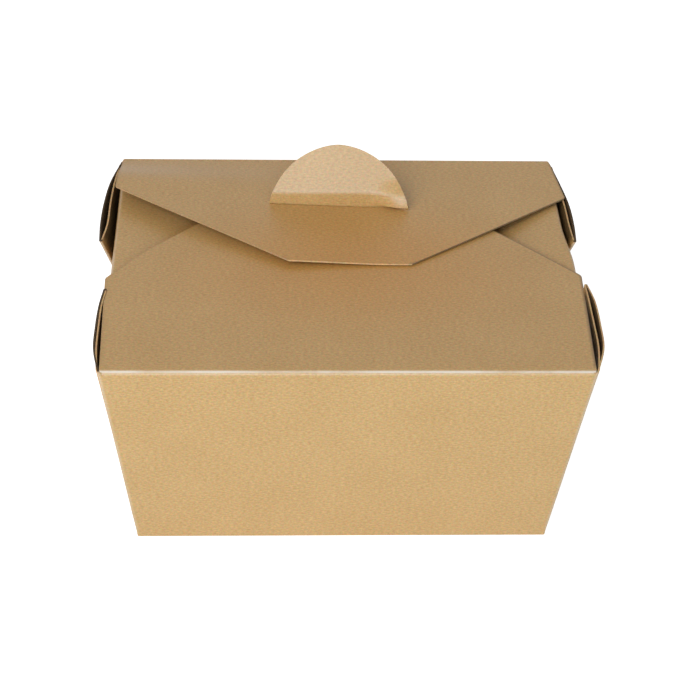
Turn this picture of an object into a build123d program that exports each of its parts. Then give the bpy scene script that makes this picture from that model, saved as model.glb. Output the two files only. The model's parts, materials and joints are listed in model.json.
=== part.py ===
from build123d import *
import os
from math import atan, cos, radians, sin, tan

os.makedirs("parts", exist_ok=True)

# A take-away lunch box, folded from one die-cut sheet of kraft board and shut by a half-moon tab.
# The origin is the middle of the base on the table, +X to the right, +Y to the back, +Z up.

# Outside of the box
base_width = 115.0
base_depth = 90.0
top_width = 130.0
top_depth = 105.0
height = 64.5

# The sheet, and how tightly it is creased
board = 0.45
base_crease = 0.6
corner_crease = 0.7
front_crease = 1.3
end_crease = 1.0
tab_crease = 0.5
fold_run = 3.9
tab_root_run = 1.5
flap_end_gap = 1.0

# Running clearance between the swinging flap and the rest
clearance = 0.3
crease_clearance = 0.1
webs_below_flap = 0.05

# End flaps, which lie lowest
end_drop = 1.4
end_flap_reach = 40.0
end_flap_slope = 1.5
end_flap_taper = 9.0
end_flap_corner = 8.0
end_flap_side_gap = 1.0

# Front flap, which lies on the end flaps and carries the half-moon tab
front_flap_slope = 0.9
front_flap_shoulder = 46.0
front_flap_overhang = 0.7
front_flap_end_half = 34.5
front_flap_corner = 3.0
tab_half_width = 20.2
tab_rise = 17.3

# Back flap, which lies on top and swings on the crease of the back wall
swing_radius = 0.3
swing_limit = 225.0
slit_from_crease = 25.6
slit_end_gap = 0.6
back_flap_shoulder = 20.6
back_flap_overhang = 1.2
back_flap_reach = 55.1
back_flap_end_half = 17.3
back_flap_corner = 1.2
back_flap_inset = 0.5

# Corner webs: the spare board of each corner, folded double and laid along the outside of the end wall
web_foot_share = 0.08
web_gap_share = 0.14
web_root = 0.2
web_root_reach = 0.07
web_stations = (0.28, 0.55, 0.80)
web_inner_share = 0.45
web_air_start = 0.18
web_air_end = 0.975
web_air_narrowing = 0.82
web_air_closed = 0.05
web_fold = 2.1 * board
back_web_drop = board + clearance + webs_below_flap
front_web_drop = 0.3

# Each web springs out by its own amount: reach along the rim, bulge at the three stations, and tip
webs = {
    "back left": dict(side=(-1, 1), drop=back_web_drop, reach=43.5, bulge=(2.8, 4.0, 4.3), tip=4.0),
    "back right": dict(side=(1, 1), drop=back_web_drop, reach=43.0, bulge=(1.8, 3.1, 3.2), tip=2.7),
    "front left": dict(side=(-1, -1), drop=front_web_drop, reach=41.5, bulge=(1.9, 2.0, 2.0), tip=1.9),
    "front right": dict(side=(1, -1), drop=front_web_drop, reach=41.5, bulge=(3.2, 3.85, 3.8), tip=3.0),
}

# Slopes of the walls, which flare outwards as they rise
width_flare = (top_width - base_width) / 2 / height
depth_flare = (top_depth - base_depth) / 2 / height
width_tilt = atan(width_flare)
depth_tilt = atan(depth_flare)


def half_width(z):
    return base_width / 2 + width_flare * z


def end_half_width(z):
    """The end walls stand in from the edges of the front wall, by the two layers of web outside them."""
    return half_width(z) - web_fold * (1 - z / height)


def half_depth(z):
    return base_depth / 2 + depth_flare * z


# Crease axis of the back flap, inside the outer skin of the back wall and of the flap
axis_z = height - swing_radius
axis_y = half_depth(axis_z) - swing_radius / cos(depth_tilt)

# Below this level the walls are one hollow tray, above it each has its own fold
rim_band = 4.0
tray_height = height - rim_band
strip_overlap = 1.5


def folded_strip(plane, points, radius, length):
    """A strip of board that follows the outer skin through the points, with a round fold between them."""
    with BuildPart() as strip:
        with BuildSketch(plane):
            with BuildLine():
                FilletPolyline(*points, radius=radius)
                offset(amount=board, side=Side.RIGHT)
            make_face()
        extrude(amount=length / 2, both=True)
    return strip.part


def web_plane(web, z):
    """Plane at height z with its origin on the box corner, x along the end wall and y out of it."""
    side_x, side_y = web["side"]
    corner = (side_x * half_width(z), side_y * half_depth(z), z)
    return Plane(origin=corner, x_dir=(0, -side_y, 0), z_dir=(0, 0, side_x * side_y))


def web_curves(web, share):
    """Outer skin and inner skin of the folded web at a share of the height, as lists of points."""
    layers = web_fold * (1 - share)
    stations = [station * web["reach"] * share for station in web_stations]
    tip_reach = web["reach"] * share
    tip = web["tip"] * share
    outer = [(u, bulge * share) for u, bulge in zip(stations, web["bulge"])]
    inner = [(u, bulge * share * web_inner_share - layers) for u, bulge in zip(stations, web["bulge"])]
    return outer + [(tip_reach, tip)], inner + [(tip_reach, tip - web_fold)]


def web_body(web, top_share):
    """Both layers of the web as one lofted wedge, rooted in the corner of the box."""
    with BuildPart() as body:
        for share in (web_foot_share, top_share):
            outer, inner = web_curves(web, share)
            root_depth = -web_root - web_fold * (1 - share)
            root_end = (web_root_reach * web["reach"] * share + web_root, root_depth)
            with BuildSketch(web_plane(web, share * height)):
                with BuildLine():
                    Spline((web_root, -web_root), *outer)
                    Line(outer[-1], inner[-1])
                    Spline(*reversed(inner), root_end)
                    Polyline(root_end, (web_root, root_depth), (web_root, -web_root))
                make_face()
        loft(ruled=True)
    return body.part


def web_air(web, top_share):
    """The air between the two layers, from the rim down towards the base corner."""
    with BuildPart() as air:
        for share in (web_gap_share, top_share):
            outer, inner = web_curves(web, share)
            near = [(u, v - board) for u, v in outer[:-1]]
            far = [(u, v + board) for u, v in inner[:-1]]
            start_u = web_air_start * web["reach"] * share
            start_v = near[0][1] * web_air_narrowing
            end_u = web_air_end * web["reach"] * share
            end_v = (outer[-1][1] + inner[-1][1]) / 2
            near_end = (end_u, end_v + web_air_closed)
            far_end = (end_u, end_v - web_air_closed)
            near_start = (start_u, start_v)
            far_start = (start_u, start_v - web_air_closed)
            with BuildSketch(web_plane(web, share * height)):
                with BuildLine():
                    Spline(near_start, *near, near_end)
                    Line(near_end, far_end)
                    Spline(far_end, *reversed(far), far_start)
                    Line(far_start, near_start)
                make_face()
        loft(ruled=True)
    return air.part


def flared_block(inset, bottom, top):
    """The flared form of the box, with its walls and base set in from the outer skin."""
    width_inset = inset / cos(width_tilt)
    depth_inset = inset / cos(depth_tilt)
    with BuildPart() as block:
        for z in (bottom, top):
            with BuildSketch(Plane.XY.offset(z)):
                Rectangle(2 * (end_half_width(z) - width_inset), 2 * (half_depth(z) - depth_inset))
        loft()
        fillet(block.edges().filter_by(Plane.XY, reverse=True), radius=corner_crease - inset)
        fillet(block.edges().group_by(Axis.Z)[0], radius=base_crease - inset)
    return block.part


def full_width_wall(side_y):
    """Front or back wall out to its own edges, where it turns into the webs."""
    wall_board = board / cos(depth_tilt)
    with BuildPart() as wall:
        for z in (base_crease, tray_height):
            middle_y = side_y * (half_depth(z) - wall_board / 2)
            with BuildSketch(Plane.XY.offset(z)):
                with Locations((0, middle_y)):
                    Rectangle(2 * half_width(z), wall_board)
        loft()
    return wall.part


# Panel planes, each with its origin on the fold line of the outer skin and y running along the flap
front_fold_y = -half_depth(height)
front_slope = radians(front_flap_slope)
front_flap_plane = Plane(
    origin=(0, front_fold_y, height),
    x_dir=(1, 0, 0),
    z_dir=(0, sin(front_slope), cos(front_slope)),
)
end_fold_z = height - end_drop
end_fold_x = end_half_width(end_fold_z)
end_slope = radians(end_flap_slope)

# The half-moon tab follows a circle about the crease axis, so the slit rides up and off it
tab_y = axis_y - slit_from_crease
tab_root_reach = (tab_y - front_fold_y) / cos(front_slope)
tab_root_z = height - tab_root_reach * sin(front_slope)
tab_half_board = board / 2


def tab_board():
    """The half-moon: a curved board about the crease axis, cut to half an ellipse."""
    with BuildPart() as tab:
        with BuildSketch(Plane.YZ):
            with Locations((axis_y, axis_z)):
                Circle(slit_from_crease + tab_half_board)
                Circle(slit_from_crease - tab_half_board, mode=Mode.SUBTRACT)
        extrude(amount=tab_half_width, both=True)
        with BuildSketch(Plane.XZ.offset(-axis_y)):
            with Locations((0, axis_z)):
                Ellipse(tab_half_width, tab_rise)
                Rectangle(2 * tab_half_width, tab_rise, align=(Align.CENTER, Align.MAX), mode=Mode.SUBTRACT)
        extrude(amount=2 * slit_from_crease, mode=Mode.INTERSECT)
    return tab.part


def tab_root():
    """The crease that turns the front flap up into the tab."""
    flap_start = tab_root_reach - tab_root_run - board
    start = front_flap_plane.from_local_coords((0, flap_start, 0))
    bend_y = tab_y - tab_half_board
    bend = (bend_y, tab_root_z)
    return folded_strip(
        Plane.YZ,
        [(start.Y, start.Z), bend, (bend_y, axis_z + board / 2)],
        tab_crease,
        2 * tab_half_width,
    )


def end_flap():
    """Fold and flap of the right end wall."""
    wall_z = tray_height - strip_overlap
    root_half = half_depth(tray_height) - board - end_flap_side_gap
    far_x = end_fold_x - end_flap_reach * cos(end_slope)
    far_z = end_fold_z - end_flap_reach * sin(end_slope)
    far_half = root_half - end_flap_reach * tan(radians(end_flap_taper))
    with BuildPart() as end:
        with BuildSketch(Plane.XZ):
            with BuildLine():
                FilletPolyline(
                    (end_half_width(wall_z), wall_z),
                    (end_fold_x, end_fold_z),
                    (far_x, far_z),
                    radius=end_crease,
                )
                offset(amount=board, side=Side.LEFT)
            make_face()
        extrude(amount=root_half, both=True)
        with BuildSketch(Plane.XY.offset(wall_z)) as outline:
            with BuildLine():
                Polyline(
                    (far_x, -far_half),
                    (end_fold_x - end_crease, -root_half),
                    (end_fold_x + end_crease, -root_half),
                    (end_fold_x + end_crease, root_half),
                    (end_fold_x - end_crease, root_half),
                    (far_x, far_half),
                    close=True,
                )
            make_face()
            fillet(outline.vertices().group_by(Axis.X)[0], radius=end_flap_corner)
        extrude(amount=height - wall_z, mode=Mode.INTERSECT)
    return end.part


def rim_form(bottom):
    """Everything between the side edges of the front and back walls, which flare as they rise."""
    with BuildPart() as form:
        for z in (bottom, height):
            with BuildSketch(Plane.XY.offset(z)):
                Rectangle(2 * half_width(z), 2 * top_depth)
        loft()
    return form.part


def front_fold():
    """The upper edge of the front wall, rolled over into the front flap."""
    wall_z = tray_height - strip_overlap
    flap_point = front_flap_plane.from_local_coords((0, fold_run, 0))
    skin = [(-half_depth(wall_z), wall_z), (front_fold_y, height), (flap_point.Y, flap_point.Z)]
    with BuildPart() as fold:
        add(folded_strip(Plane.YZ, skin, front_crease, 2 * half_width(height)))
        add(rim_form(wall_z), mode=Mode.INTERSECT)
    return fold.part


def back_wall_edge():
    """The upper edge of the back wall, bevelled so that the opened flap can lie over it."""
    wall_z = tray_height - strip_overlap
    open_angle = radians(swing_limit)
    lean = tan(open_angle - radians(180))
    foot_y = axis_y + (swing_radius + crease_clearance) * sin(open_angle)
    foot_z = axis_z + (swing_radius + crease_clearance) * cos(open_angle)
    outer_z = foot_z - lean * (half_depth(axis_z) - foot_y)
    inner_y = half_depth(axis_z) - board / cos(depth_tilt)
    inner_z = min(foot_z - lean * (inner_y - foot_y), axis_z - swing_radius - crease_clearance)
    with BuildPart() as edge:
        with BuildSketch(Plane.YZ):
            with BuildLine():
                Polyline(
                    (half_depth(wall_z), wall_z),
                    (half_depth(outer_z), outer_z),
                    (half_depth(inner_z) - board / cos(depth_tilt), inner_z),
                    (half_depth(wall_z) - board / cos(depth_tilt), wall_z),
                    close=True,
                )
            make_face()
        extrude(amount=half_width(height), both=True)
        add(rim_form(wall_z), mode=Mode.INTERSECT)
    return edge.part


# One folded sheet: base, walls, webs, end flaps, and the front flap with its tab
with BuildPart() as carton:
    # Base and walls
    add(flared_block(0, 0, tray_height))
    add(flared_block(board, board, height), mode=Mode.SUBTRACT)
    for side_y in (-1, 1):
        add(full_width_wall(side_y))
    # Rims of the walls
    add(front_fold())
    add(back_wall_edge())
    right_end_flap = end_flap()
    add(right_end_flap)
    add(mirror(right_end_flap, about=Plane.YZ, mode=Mode.PRIVATE))
    # Front flap, with shoulders that stop the back flap from slipping off the tab
    with BuildSketch(front_flap_plane) as front_outline:
        with BuildLine():
            Polyline(
                (-half_width(height) + corner_crease, front_crease),
                (half_width(height) - corner_crease, front_crease),
                (half_width(height) + front_flap_overhang, front_flap_shoulder),
                (front_flap_end_half, tab_root_reach - flap_end_gap),
                (-front_flap_end_half, tab_root_reach - flap_end_gap),
                (-half_width(height) - front_flap_overhang, front_flap_shoulder),
                close=True,
            )
        make_face()
        fillet(front_outline.vertices().group_by(Axis.X)[0], radius=front_flap_corner)
        fillet(front_outline.vertices().group_by(Axis.X)[-1], radius=front_flap_corner)
    extrude(amount=-board)
    # Half-moon tab, turned up through the slit
    add(tab_root())
    add(tab_board())
    # Corner webs
    for web in webs.values():
        top_share = 1 - web["drop"] / height
        add(web_body(web, top_share))
        add(web_air(web, 1), mode=Mode.SUBTRACT)

carton.part.label = "carton"
export_step(carton.part, "parts/carton.step")

# The back flap: a panel with a slit for the tab, and the crease bead that it swings on
flap_plane = Plane.XY.offset(height)
with BuildPart() as back_flap:
    with BuildSketch(flap_plane) as back_outline:
        with BuildLine():
            Polyline(
                (-half_width(height) + back_flap_inset, axis_y),
                (half_width(height) - back_flap_inset, axis_y),
                (half_width(height) + back_flap_overhang, axis_y - back_flap_shoulder),
                (back_flap_end_half, axis_y - back_flap_reach),
                (-back_flap_end_half, axis_y - back_flap_reach),
                (-half_width(height) - back_flap_overhang, axis_y - back_flap_shoulder),
                close=True,
            )
        make_face()
        fillet(back_outline.vertices().group_by(Axis.Y)[0], radius=back_flap_corner)
        fillet(back_outline.vertices().group_by(Axis.X)[0], radius=back_flap_corner)
        fillet(back_outline.vertices().group_by(Axis.X)[-1], radius=back_flap_corner)
        with Locations((0, tab_y)):
            SlotOverall(2 * (tab_half_width + slit_end_gap), board + 2 * clearance, mode=Mode.SUBTRACT)
    extrude(amount=-board)
    with BuildSketch(Plane.YZ):
        with Locations((axis_y, axis_z)):
            Circle(swing_radius)
    extrude(amount=half_width(height) - back_flap_inset, both=True)

back_flap.part.label = "back_flap"
export_step(back_flap.part, "parts/back_flap.step")
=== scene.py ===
"""A take-away lunch box of kraft board, folded from one sheet and shut by a half-moon tab.

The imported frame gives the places; this script makes the board itself, panel by panel, and its finish.
The sizes in the panel are real ones. The sheet is worked out in millimetres, and add_sheet makes it metres.
"""

import json
from math import asin, atan2, ceil, cos, exp, hypot, pi, radians, sin, sqrt, tan
from types import SimpleNamespace

import bmesh
import bpy
from bpy.props import FloatProperty, FloatVectorProperty, PointerProperty
from mathutils import Matrix, Vector

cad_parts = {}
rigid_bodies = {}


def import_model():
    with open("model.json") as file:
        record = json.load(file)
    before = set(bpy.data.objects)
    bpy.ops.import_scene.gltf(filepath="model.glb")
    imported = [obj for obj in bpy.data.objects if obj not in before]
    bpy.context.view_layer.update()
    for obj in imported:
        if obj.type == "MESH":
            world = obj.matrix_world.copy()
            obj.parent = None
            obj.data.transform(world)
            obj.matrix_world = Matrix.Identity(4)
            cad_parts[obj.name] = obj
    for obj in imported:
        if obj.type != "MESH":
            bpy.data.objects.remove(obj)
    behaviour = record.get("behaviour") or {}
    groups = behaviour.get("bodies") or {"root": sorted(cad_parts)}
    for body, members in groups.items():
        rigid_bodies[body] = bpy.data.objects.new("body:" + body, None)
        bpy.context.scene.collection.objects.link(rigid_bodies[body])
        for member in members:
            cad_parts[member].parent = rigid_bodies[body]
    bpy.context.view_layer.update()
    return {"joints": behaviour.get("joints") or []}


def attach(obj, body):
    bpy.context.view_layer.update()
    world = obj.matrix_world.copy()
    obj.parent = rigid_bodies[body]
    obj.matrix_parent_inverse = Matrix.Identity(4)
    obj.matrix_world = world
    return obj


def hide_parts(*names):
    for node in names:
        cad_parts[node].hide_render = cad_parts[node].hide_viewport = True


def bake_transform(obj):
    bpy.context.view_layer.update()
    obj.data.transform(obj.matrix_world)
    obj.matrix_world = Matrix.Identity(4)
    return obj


bl_info = {
    "name": "Kraft lunch box",
    "version": (1, 0, 0),
    "blender": (4, 5, 0),
    "location": "View3D > Sidebar > Lunch box",
    "description": "Folds a kraft board lunch box round its packed frame",
    "category": "Object",
}

MM = 0.001
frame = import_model()
HINGE = Vector(frame["joints"][0]["pos_m"]) / MM
HINGE_BODIES = (frame["joints"][0]["parent"], frame["joints"][0]["child"])
FACE_ANGLE = radians(40)
SHEET_UV = "Flat sheet"

# Greatest distances between the rows of the sheet, in millimetres
WALL_STEP = 2.4
FLAP_STEP = 2.5
FRONT_STEP = 2.8
WEB_STEP = 0.4

# Each bend is cut in eight, and its painted highlight is brightest two thirds of the way round
BEND_PARTS = 8
HIGHLIGHT_PLACE = 0.66
HIGHLIGHT_WIDTH = 0.14

# Painted shadow lines along cut edges, given as a negative crease
EDGE_BLACK = -1.0
EDGE_DARK = -0.9
EDGE_BROWN = -0.7
EDGE_TAN = -0.3
EDGE_FAINT = -0.2


# Properties: sizes in metres as Blender keeps them, and colours


def length(name, description, millimetres):
    """A length property, with its default given in millimetres."""
    return FloatProperty(
        name=name, description=description, default=millimetres * MM, unit="LENGTH", precision=5
    )


def lengths(name, description, millimetres):
    """A row of lengths, with their defaults given in millimetres."""
    default = [value * MM for value in millimetres]
    return FloatVectorProperty(
        name=name, description=description, default=default, size=len(default), unit="LENGTH", precision=5
    )


def angle(name, description, degrees):
    """An angle property, with its default given in degrees."""
    return FloatProperty(name=name, description=description, default=radians(degrees), subtype="ANGLE")


def power(name, description, watts):
    """The power of a lamp, in watts."""
    return FloatProperty(name=name, description=description, default=watts, unit="POWER")


def linear(hex_colour):
    """Linear colour from an sRGB hex value such as #c8a470."""
    parts = [int(hex_colour[i : i + 2], 16) / 255 for i in (1, 3, 5)]
    return [c / 12.92 if c <= 0.04045 else ((c + 0.055) / 1.055) ** 2.4 for c in parts]


def colour(name, description, hex_colour):
    """A colour property, with its default given as an sRGB hex value."""
    return FloatVectorProperty(
        name=name, description=description, default=linear(hex_colour), size=3, subtype="COLOR", min=0, max=1
    )


class LunchboxTraySizes(bpy.types.PropertyGroup):
    base_width: length("Base width", "Outside width of the base", 115)
    base_depth: length("Base depth", "Outside depth of the base", 90)
    rim_width: length("Rim width", "Outside width at the rim", 130)
    rim_depth: length("Rim depth", "Outside depth at the rim", 105)
    height: length("Height", "Height of the walls", 64.5)
    board: length("Board", "Thickness of the board", 0.45)
    base_fold: length("Base fold", "Outer radius of the folds round the base", 0.6)
    corner_fold: length("Corner fold", "Length that each upright corner takes to turn", 0.9)
    web_fold: length("Web fold", "Thickness of a web where it is folded double", 0.945)
    crease_strip: length("Crease strip", "Width of board on each side of the back crease", 1.3)


WEB_ROW = "Reach, three bulges, tip and tip rise"
EDGE_ROW = "Distance and half-width at its shoulder and its bend"


class LunchboxWebSizes(bpy.types.PropertyGroup):
    back_left: lengths("Back left", WEB_ROW, (43.5, 2.8, 4.0, 4.3, 4.0, 0.0))
    back_right: lengths("Back right", WEB_ROW, (43.0, 1.8, 3.1, 3.2, 2.7, 0.0))
    front_left: lengths("Front left", WEB_ROW, (37.4, 1.9, 2.1, 1.8, 1.0, 0.0))
    front_right: lengths("Front right", WEB_ROW, (38.8, 3.2, 3.85, 3.7, 2.4, 1.0))
    back_drop: length("Back drop", "How far the back webs end below the rim", 0.8)
    front_drop: length("Front drop", "How far the front webs end below the rim", 0.3)


class LunchboxFrontFlapSizes(bpy.types.PropertyGroup):
    fold: length("Fold", "Outer radius of the rim fold", 1.3)
    slope: angle("Slope", "How far the flap leans down into the box", 0.9)
    left_edge: lengths("Left edge", EDGE_ROW, (43.2, 65.9, 56.7, 55.7))
    right_edge: lengths("Right edge", EDGE_ROW, (45.2, 66.7, 58.0, 54.5))
    end_half: length("End half-width", "Half of the width where the sides end", 34.5)
    corner: length("Corner", "Radius of the shoulder corners", 2.4)
    edge_bend: length("Edge bend", "Radius of the soft bend in each slanted side", 14)
    end_gap: length("End gap", "How far the sides end before the tab's crease", 1)
    neck: length("Tab neck", "Half of the width where the tab joins the flap", 17)
    tab_half: length("Tab half-width", "Half of the width of the half-moon", 20.2)
    tab_strip: length("Tab strip", "Height of the strip below the tab's own bend", 4.4)
    tab_crease: length("Tab crease", "Radius of the fold that turns the tab up", 0.5)
    tab_bend: length("Tab bend", "Radius of the bend above the strip", 1.6)
    tab_top: length("Tab top", "Height of the top of the tab above the base", 81.5)
    tab_reach: length("Tab reach", "Distance from the hinge to the face of the tab", 25.825)
    tab_lean: length("Tab lean", "How far the tab leans to the left", 0.6)
    ear_pop: length("Ear pop", "How far the right ear of the tab has sprung out", 2.3)
    ear_gap: length("Ear gap", "Height of the ears above the back flap", 0.15)


class LunchboxEndFlapSizes(bpy.types.PropertyGroup):
    drop: length("Drop", "How far the end folds lie below the rim", 1.4)
    fold: length("Fold", "Outer radius of the end folds", 1)
    reach: length("Reach", "Length of the flap", 40)
    slope: angle("Slope", "How far the flap leans down into the box", 1.5)
    sag: length("Sag", "How far the free end of the left flap droops below that slope", 3.2)
    right_sag: length("Right sag", "How far the free end of the right flap droops below that slope", 5.6)
    taper: angle("Taper", "Taper of each side", 9)
    corner: length("Corner", "Radius of the free corners", 8)
    right_bow: length("Right bow", "How far the top of the right end wall bows out", 1.2)
    side_gap: length("Side gap", "Room between the flap and the front or back wall", 1)


class LunchboxBackFlapSizes(bpy.types.PropertyGroup):
    inset: length("Inset", "How far the flap is narrower than the rim at its crease", 0.5)
    shoulder: length("Shoulder", "Distance from the crease to the widest place", 20.6)
    overhang: length("Overhang", "How far the shoulders stand out past the rim on each side", 1.2)
    reach: length("Reach", "Distance from the crease to the tip", 55.1)
    end_half: length("End half-width", "Half of the width of the tip", 17.3)
    corner: length("Corner", "Radius of the corners", 1.2)
    slit_reach: length("Slit reach", "Distance from the crease to the slit", 25.6)
    slit_half: length("Slit half-length", "Half of the length of the slit", 20.4)
    slit_width: length("Slit width", "Width of the slit", 1.05)
    corner_lift: length("Corner lift", "How far the left shoulder has sprung up", 3.4)
    tip_lift: length("Tip lift", "How far the left of the tip has sprung up", 0.35)
    tip_shift: length("Tip shift", "How far the tip lies to the right of the middle", 2)


class LunchboxFinish(bpy.types.PropertyGroup):
    outside: colour("Outside", "Coated side of the board", "#ba935c")
    outside_fleck: colour("Outside flecks", "Darker fibres in the coated side", "#ac844b")
    inside: colour("Inside", "Uncoated side of the board", "#a47d4f")
    cut_edge: colour("Cut edge", "Raw edge of the board", "#c9a273")
    bead: length("Crease bead", "Radius of the bead that a crease leaves on the inside", 0.3)


class LunchboxStudio(bpy.types.PropertyGroup):
    front_power: power("Front lamp", "Power of the lamp in front of the box", 4.9)
    left_power: power("Left lamp", "Power of the broad lamp on the left", 4.6)
    sky: FloatProperty(name="Sky", description="Strength of the light from all round", default=0.39, min=0)


class LunchboxSettings(bpy.types.PropertyGroup):
    tray: PointerProperty(name="Tray", type=LunchboxTraySizes)
    webs: PointerProperty(name="Webs", type=LunchboxWebSizes)
    front_flap: PointerProperty(name="Front flap", type=LunchboxFrontFlapSizes)
    end_flap: PointerProperty(name="End flaps", type=LunchboxEndFlapSizes)
    back_flap: PointerProperty(name="Back flap", type=LunchboxBackFlapSizes)
    finish: PointerProperty(name="Finish", type=LunchboxFinish)
    studio: PointerProperty(name="Studio", type=LunchboxStudio)


def in_mm(group):
    """The numbers of a property group by name: lengths in millimetres, the rest as they are."""
    sizes = SimpleNamespace()
    for name, prop in group.bl_rna.properties.items():
        if prop.type != "FLOAT":
            continue
        value = getattr(group, name)
        if prop.unit == "LENGTH":
            value = [v / MM for v in value] if prop.is_array else value / MM
        setattr(sizes, name, value)
    return sizes


# Small helpers for curves


def lerp(a, b, t):
    return a + (b - a) * t


def smooth(t):
    t = min(max(t, 0.0), 1.0)
    return t * t * (3 - 2 * t)


def spread(start, end, step):
    """Evenly spread numbers from start to end, both with them, no more than a step apart."""
    count = max(1, ceil(abs(end - start) / step - 1e-6))
    return [lerp(start, end, i / count) for i in range(count + 1)]


def merged(*lists, gap=0.2):
    """Numbers of all lists in order. A later list leaves out what lies within the gap of an earlier one."""
    kept = []
    for numbers in lists:
        kept += [n for n in numbers if all(abs(n - k) > gap for k in kept)]
    return sorted(kept)


def both_sides(values):
    """Numbers from the middle outwards, mirrored to run from left to right."""
    return [-v for v in reversed(values) if v > 0] + list(values)


def through(points, x):
    """Smooth curve through a few (x, y) points, read at x."""
    last = len(points) - 1
    i = 0
    while i < last - 1 and x > points[i + 1][0]:
        i += 1
    (x0, y0), (x1, y1) = points[i], points[i + 1]
    before, after = points[max(i - 1, 0)], points[min(i + 2, last)]
    slope0 = (y1 - before[1]) / (x1 - before[0])
    slope1 = (after[1] - y0) / (after[0] - x0)
    h = x1 - x0
    t = (x - x0) / h
    ends = y0 * (1 + 2 * t) * (1 - t) ** 2 + y1 * t * t * (3 - 2 * t)
    return ends + h * t * (1 - t) * (slope0 * (1 - t) - slope1 * t)


class Run:
    """A run of 2D points with its inner corners rounded, read by the distance along it."""

    def __init__(self, points, radii):
        self.points = [(*points[0], 0.0)]
        self.corner = [0]
        for i, radius in enumerate(radii, 1):
            corner = Vector(points[i])
            back = (Vector(points[i - 1]) - corner).normalized()
            ahead = (Vector(points[i + 1]) - corner).normalized()
            half = back.angle(ahead) / 2
            centre = corner + (back + ahead).normalized() * radius / sin(half)
            start = corner + back * radius / tan(half) - centre
            end = corner + ahead * radius / tan(half) - centre
            turn = atan2(start.x * end.y - start.y * end.x, start.dot(end))
            for j in range(BEND_PARTS + 1):
                share = j / BEND_PARTS
                a = turn * share
                x = start.x * cos(a) - start.y * sin(a)
                y = start.x * sin(a) + start.y * cos(a)
                highlit = exp(-(((share - HIGHLIGHT_PLACE) / HIGHLIGHT_WIDTH) ** 2))
                self.points.append((centre.x + x, centre.y + y, highlit))
                self.corner.append(i)
        self.points.append((*points[-1], 0.0))
        self.corner.append(len(points) - 1)
        self.marks = [0.0]
        for before, after in zip(self.points, self.points[1:]):
            self.marks.append(self.marks[-1] + hypot(after[0] - before[0], after[1] - before[1]))
        self.length = self.marks[-1]

    def piece(self, s):
        """Number of the short piece between two points that s lies on."""
        i = 0
        while i < len(self.marks) - 2 and s > self.marks[i + 1] + 1e-7:
            i += 1
        return i

    def at(self, s):
        """Point at a distance along the run, and its share of the painted fold highlight."""
        i = self.piece(s)
        t = (s - self.marks[i]) / (self.marks[i + 1] - self.marks[i])
        return tuple(lerp(a, b, t) for a, b in zip(self.points[i], self.points[i + 1]))

    def place(self, s):
        """Number of the straight that s lies on, from 0, or that less a half in the bend before it."""
        i = self.piece(s)
        bend = self.corner[i] == self.corner[i + 1]
        return self.corner[i] - 0.5 * bend

    def end_of(self, place):
        """Distance at which a straight or a bend ends."""
        return max(m for m in self.marks[1:] if self.place(m) == place)

    def stations(self, step):
        """Distances of all its points, with the long straights divided."""
        out = [0.0]
        for before, after in zip(self.marks, self.marks[1:]):
            if after - before > 1e-6:
                out += spread(before, after, step)[1:]
        return out


def width_at(outline, s):
    """Half-width at s of an outline, a Run of (distance, half-width)."""
    for (s0, w0, _), (s1, w1, _) in zip(outline.points, outline.points[1:]):
        if s0 <= s <= s1 and s1 - s0 > 1e-9:
            return lerp(w0, w1, (s - s0) / (s1 - s0))
    return outline.points[-1][1]


# The flared form of the tray


NARROW_TURN = 0.45


class TrayForm:
    """Every size in millimetres, and where the walls of the tray stand at each height."""

    def __init__(self, settings):
        for group in ("tray", "webs", "front_flap", "end_flap", "back_flap", "finish"):
            setattr(self, group, in_mm(getattr(settings, group)))
        tray = self.tray
        self.height = tray.height
        self.width_flare = (tray.rim_width - tray.base_width) / 2 / tray.height
        self.depth_flare = (tray.rim_depth - tray.base_depth) / 2 / tray.height
        self.end_fold_z = tray.height - self.end_flap.drop
        self.base_edge = self.end_half_width(0) - tray.base_fold
        self.back_top = tray.height - tray.crease_strip

    def half_width(self, z):
        return self.tray.base_width / 2 + self.width_flare * z

    def half_depth(self, z):
        return self.tray.base_depth / 2 + self.depth_flare * z

    def end_half_width(self, z):
        """The end walls stand in by the two layers of web outside them."""
        return self.half_width(z) - self.tray.web_fold * (1 - z / self.height)

    def corner_length(self, z, web):
        return min(self.tray.corner_fold, NARROW_TURN * web[0] * z / self.height)

    def wall_end(self, z, web):
        """How far the front or back wall runs before it starts to turn into a web."""
        return self.half_width(z) - self.corner_length(z, web)


# Making a sheet


def placed(name, data):
    """A new object in the scene, with its mesh, lamp or camera."""
    piece = bpy.data.objects.new(name, data)
    bpy.context.collection.objects.link(piece)
    return piece


def shade(mesh):
    """Shades a mesh smooth, but for the edges where board was cut."""
    mesh.shade_smooth()
    mesh.set_sharp_from_angle(angle=FACE_ANGLE)


def placed_mesh(name, bm, materials):
    """A new object in the scene from an edit mesh, which is used up, with its materials."""
    mesh = bpy.data.meshes.new(name)
    bm.to_mesh(mesh)
    bm.free()
    for material in materials:
        mesh.materials.append(material)
    return placed(name, mesh)


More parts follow.
